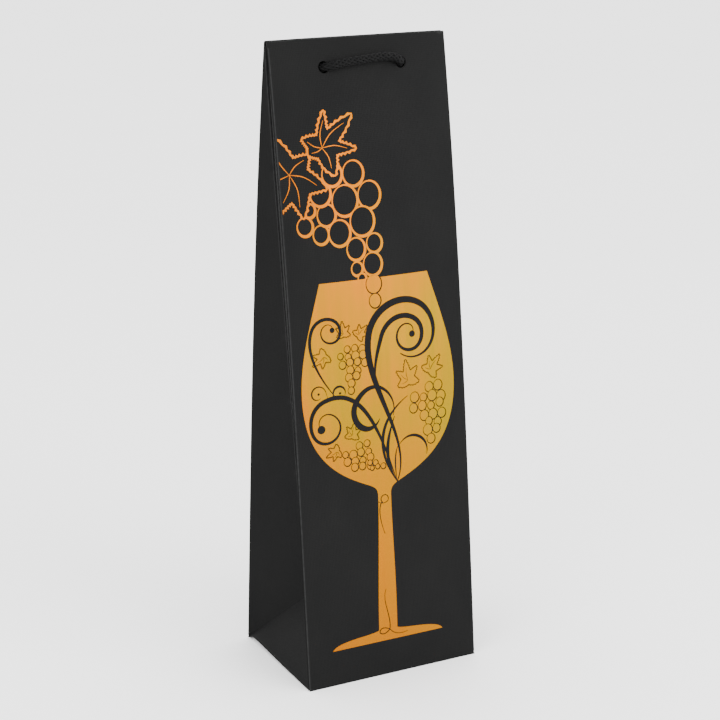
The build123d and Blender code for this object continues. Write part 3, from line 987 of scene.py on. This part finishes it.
def leaf_line(x, y, size, turn, lobes=LEAF):
    """A closed line round a leaf, with pointed lobes and rounded notches."""
    line = []
    for i, (angle, share) in enumerate(lobes):
        after, next_share = lobes[(i + 1) % len(lobes)]
        after += 360 if after <= angle else 0
        tip_first = i % 2 == 0
        for step in range(10):
            t = step / 10
            blend = (1 - t) ** 1.45 if tip_first else 1 - t ** 1.45
            radius = size * (next_share + (share - next_share) * blend)
            line.append(polar(x, y, radius, turn + angle + (after - angle) * t))
    return np.array(line)


def beside(line, offsets):
    """A closed line moved outwards by an offset at each point."""
    way = np.roll(line, -1, axis=0) - np.roll(line, 1, axis=0)
    way /= np.linalg.norm(way, axis=1)[:, None]
    return line + np.stack([way[:, 1], -way[:, 0]], axis=1) * offsets[:, None]


def teeth(line, low, high):
    """Offsets that make a saw edge."""
    return np.where(np.arange(len(line)) % 2 == 0, low, high)


def veins(x, y, size, turn, lobes, width, length):
    """A curved vein from the stalk to each tip."""
    strokes = []
    for angle, share in lobes[::2]:
        end = polar(x, y, size * share * length, turn + angle)
        bend = polar(x, y, size * share * length * 0.5, turn + angle + 15)
        strokes.append(brush(bezier((x, y), bend, bend, end, 14), width, 0.4, 0.3))
    return strokes


def gold_leaf(x, y, size, turn, lobes):
    """A leaf drawn as a jagged gold line with thin veins."""
    line = leaf_line(x, y, size, turn, lobes)
    outer = beside(line, teeth(line, 0.25, 1.25))
    inner = beside(line, teeth(line, -0.75, -0.35))
    lines = veins(x, y, size, turn, lobes, 0.5, 0.72)
    return [(outer, True), (inner, False)] + [(vein, True) for vein in lines]


def ring(x, y, radius, line, tall=1.12, heavy=0.3, ink=True):
    """A berry: a ring whose line is heavier low on the right, taller than wide."""
    outer = [(px, y + (py - y) * tall) for px, py in circle(x, y, radius, 40)]
    inside = radius - line
    inner = [(px, y + (py - y) * tall) for px, py in circle(x - line * heavy, y + line * heavy, inside, 36)]
    return [(outer, ink), (inner, not ink)]


# Berries of the bunch that hangs over the glass: across, up, radius.
BERRIES = [(-41, 261, 5.1), (-38, 269.5, 4.0), (-32, 256, 5.2), (-28.2, 266.3, 6.0), (-31, 278, 6.6),
           (-23.5, 288, 6.4), (-11, 287.7, 6.8), (-2, 275.3, 7.4), (-21, 256, 7.0), (-16.8, 273.3, 8.2),
           (-7, 261.3, 7.9), (-11.7, 246.5, 6.1), (-0.4, 248.8, 5.3), (-2.1, 237.3, 6.3),
           (-11.8, 235.6, 4.0), (-9, 230, 3.1)]
LOW_BERRIES = [(-2.2, 226.4, 5.2), (-1.9, 217, 4.0)]


def thin_bunch(x, y, rows, radius, seed):
    """A small bunch of grapes drawn inside the bowl in a thin bare line.

    Each row has a number of grapes and the distance of its middle from the first row's."""
    rng = random.Random(seed)
    shapes = []
    for row, (count, aside) in enumerate(rows):
        for place in range(count):
            size = radius * rng.uniform(0.84, 1.12)
            px = x + aside + (place - (count - 1) / 2) * radius * 1.95
            py = y - row * radius * 1.68 + rng.uniform(-0.3, 0.3) * radius
            shapes += ring(px, py, size, 0.48, 1.08, 0.25, False)
    return shapes


def thin_leaf(x, y, size, turn):
    """A leaf drawn inside the bowl in a thin bare line."""
    line = leaf_line(x, y, size, turn)
    outer = beside(line, teeth(line, 0.0, 0.6))
    inner = beside(line, teeth(line, -0.45, -0.1))
    lines = veins(x, y, size, turn, LEAF[:5], 0.3, 0.6)
    return [(outer, False), (inner, True)] + [(vein, False) for vein in lines]


def stroke(line, widest, ends=0.18, peak=0.5):
    return [(brush(line, widest, ends, peak), False)]


def scroll(root, lead, reach_back, curl, widest, peak, drop=0.0):
    """A stem from the root that runs into a curl, as one brush stroke, with a round end or none."""
    way = (curl[1] - curl[0]) / np.linalg.norm(curl[1] - curl[0])
    stem = bezier(root, (root[0] + lead[0], root[1] + lead[1]), curl[0] - way * reach_back, curl[0], 30)
    shapes = stroke(joined(stem, curl), widest, 0.16, peak)
    if drop:
        shapes.append((circle(*curl[-1], drop, 24), False))
    return shapes


VINE_ROOT = (6.9, 112.7)


def bowl_art():
    """Vine scrolls, leaves and grapes left bare inside the gold bowl."""
    shapes = thin_leaf(-35, 189.5, 8.4, 215)
    shapes += thin_leaf(-22.5, 201.0, 7.2, 95)
    shapes += thin_leaf(-13, 199.5, 7.2, 40)
    shapes += thin_bunch(-17, 192, ((3, 1), (4, -1), (4, 0), (2, 0), (2, -1), (1, -2), (1, -2.4)), 2.35, 3)
    shapes += thin_leaf(16.5, 170.0, 12.0, 96)
    shapes += thin_leaf(31.5, 174, 10.2, 50)
    shapes += thin_bunch(33, 163.5, ((2, 0), (4, -4), (4, -5), (3, -1), (2, -1), (2, -2), (1, -3)), 2.95, 5)
    shapes += thin_leaf(-20, 143.5, 7.8, 75)
    shapes += thin_leaf(-30, 135.5, 7.2, 200)
    shapes += thin_bunch(-13.5, 137, ((2, 0), (4, -4), (4, -3), (3, -1)), 2.45, 9)
    shapes += thin_bunch(-7, 126, ((2, -1), (3, 2)), 1.8, 12)
    # two large scrolls, one within the other
    shapes += scroll(VINE_ROOT, (12, 24), 27, swirl(16.6, 197.3, (24.0, 18.9, 17.7, 17.4, 12.4), 180, -290),
                     4.1, 0.56)
    shapes += scroll((-2.5, 165.5), (-4, 11), 10,
                     swirl(19, 195.2, (18.8, 11, 7.8, 8.2, 8.5, 7.0, 1.5), 180, -520), 3.0, 0.40, 1.9)
    # the left-hand scrolls
    shapes += scroll((-27.5, 164.5), (-6.5, 7.5), 14,
                     swirl(-29.9, 203.1, (11.9, 6.9, 5.4, 6.4, 6.3, 4.6, 1.0), 180, -500), 2.0, 0.5, 1.5)
    shapes += scroll(VINE_ROOT, (-8.5, 27), 24,
                     swirl(-34.9, 149.8, (15.2, 10.2, 9.2, 8.2, 7.6, 7.2, 3.8), 90, 460), 2.6, 0.45, 2.4)
    shapes += scroll((-33.5, 165.5), (-1, 2), 1.5,
                     swirl(-39.7, 169.2, (4.8, 3.9, 3.5, 2.8), 20, 290), 0.9, 0.7)
    shapes += scroll((-30.0, 165.2), (-1, 2), 1,
                     swirl(-26.5, 168.4, (4.0, 3.6, 3.3), 185, -215), 1.3, 0.5)
    shapes += [(circle(-39.2, 169.2, 0.7, 14), False), (circle(-26.3, 168.2, 0.7, 14), False)]
    # the round loop and the crossing stems
    shapes += stroke(swirl(-6.3, 156.8, (13.6, 12.4, 12.3, 11.3, 12.3, 12.0, 7.3), -25, 326),
                     3.6, 0.10, 0.78)
    shapes += stroke(bezier(VINE_ROOT, (-6, 132), (-4, 150), (15.7, 161), 40), 1.9)
    shapes += stroke(bezier(VINE_ROOT, (-2, 128), (2, 139), (6.8, 150.5), 40), 2.1)
    shapes += stroke(bezier(VINE_ROOT, (5.5, 124), (6, 130), (9.4, 135.6), 30), 0.9)
    shapes += stroke(swirl(17.9, 128.6, (10, 9.1, 9.2), 147, -166, 40), 1.7)
    return shapes


def stem_art():
    """Two thin tendrils tied round the stem."""
    upper = joined(bezier((-6.6, 104), (-5, 101.4), (-2.6, 101.2), (-0.6, 102), 12),
                   swirl(-1.6, 104.1, (2.5, 2.2, 2.4), -60, 300, 26),
                   bezier((-3.4, 102.6), (-6.2, 99), (-4.8, 91), (-2.2, 83.5), 20))
    lower = joined(bezier((-3.0, 51), (-6.2, 44), (-0.6, 36), (-1.4, 27.5), 20),
                   bezier((-1.4, 27.5), (-1.8, 24.6), (-7.6, 23.2), (-8.0, 26), 12),
                   bezier((-8.0, 26), (-7.6, 29.2), (-2.4, 28), (-0.4, 25.4), 12),
                   bezier((-0.4, 25.4), (1.8, 22.8), (6, 22.4), (10, 23.4), 12))
    return stroke(upper, 0.62, 0.5) + stroke(lower, 0.62, 0.5)


def artwork(name, shapes, node):
    """Foil cut to the gold shapes, less what is laid bare over them, on the front panel."""
    limit = half_width / MM - 0.9
    tall = [y for loop, _ in shapes for _, y in loop]
    low, high = min(tall) - 1, max(tall) + 1
    sheet_edge = subdivided([(-limit, low), (limit, low), (limit, high), (-limit, high)], 8)
    loops = [subdivided([tuple(point) for point in loop], 4) for loop, _ in shapes]
    flat, triangles = triangulate([sheet_edge] + loops, 5.0)
    middles = flat[triangles].mean(axis=1)
    gold = np.zeros(len(middles), bool)
    for loop, is_gold in shapes:
        gold[winding(middles, loop) != 0] = is_gold
    gold &= winding(middles, sheet_edge) != 0
    corners = flat[triangles]
    one, two = corners[:, 1] - corners[:, 0], corners[:, 2] - corners[:, 0]
    gold &= np.abs(one[:, 0] * two[:, 1] - one[:, 1] * two[:, 0]) > 1e-5
    piece = cut_sheet(name, flat, triangles[gold], front_sheet, FOIL_LIFT * 1.4, gold_foil, (), FOIL_LIFT)
    register(piece, "front_side", node)


low_rings = [shape for berry in LOW_BERRIES for shape in ring(*berry, 0.6, 1.12, 0.2, False)]
glass_shapes = [(glass_outline(), True)] + bowl_art() + low_rings + stem_art()
artwork("gold_wine_glass", glass_shapes, "foil_wine_glass")
front_leaf = gold_leaf(-28.3, 302.6, 25.5, 43, FRONT_LEAF)
side_leaf = gold_leaf(-48, 289.5, 25, 285, SIDE_LEAF)
leaf_shapes = side_leaf + front_leaf
berry_shapes = [shape for berry in BERRIES for shape in ring(*berry, 1.15)]
berry_shapes += [(loop, False) for loop in (side_leaf[0][0], front_leaf[0][0], glass_shapes[0][0])]
artwork("gold_grape_bunch", berry_shapes, "foil_grape_bunch")
artwork("gold_vine_leaves", leaf_shapes, "foil_vine_leaves")


# ---- floor and light ----
FLOOR_HALF = 12.0
floor_corners = [(x * FLOOR_HALF, y * FLOOR_HALF, 0) for x, y in ((-1, -1), (1, -1), (1, 1), (-1, 1))]
floor = finish_mesh("floor", floor_corners, [(0, 1, 2, 3)], floor_material())

WORLD_STRENGTH = 3.0
world = bpy.data.worlds.new("studio")
world.use_nodes = True
backdrop = world.node_tree.nodes["Background"]
backdrop.inputs["Color"].default_value = (1, 1, 1, 1)
backdrop.inputs["Strength"].default_value = WORLD_STRENGTH
bpy.context.scene.world = world


def soft_light(name, place, aim, size, power):
    """A square area light that faces a point."""
    data = bpy.data.lights.new(name, "AREA")
    data.shape = "SQUARE"
    data.size = size
    data.energy = power
    lamp = bpy.data.objects.new(name, data)
    lamp.location = place
    lamp.rotation_mode = "QUATERNION"
    lamp.rotation_quaternion = (Vector(aim) - Vector(place)).to_track_quat("-Z", "Y")
    bpy.context.scene.collection.objects.link(lamp)


soft_light("key", (0.9, -1.7, 0.8), (0, 0, height / 2), 1.4, 50)
soft_light("fill", (-1.5, -0.9, 0.5), (0, 0, 0.05), 1.0, 26)
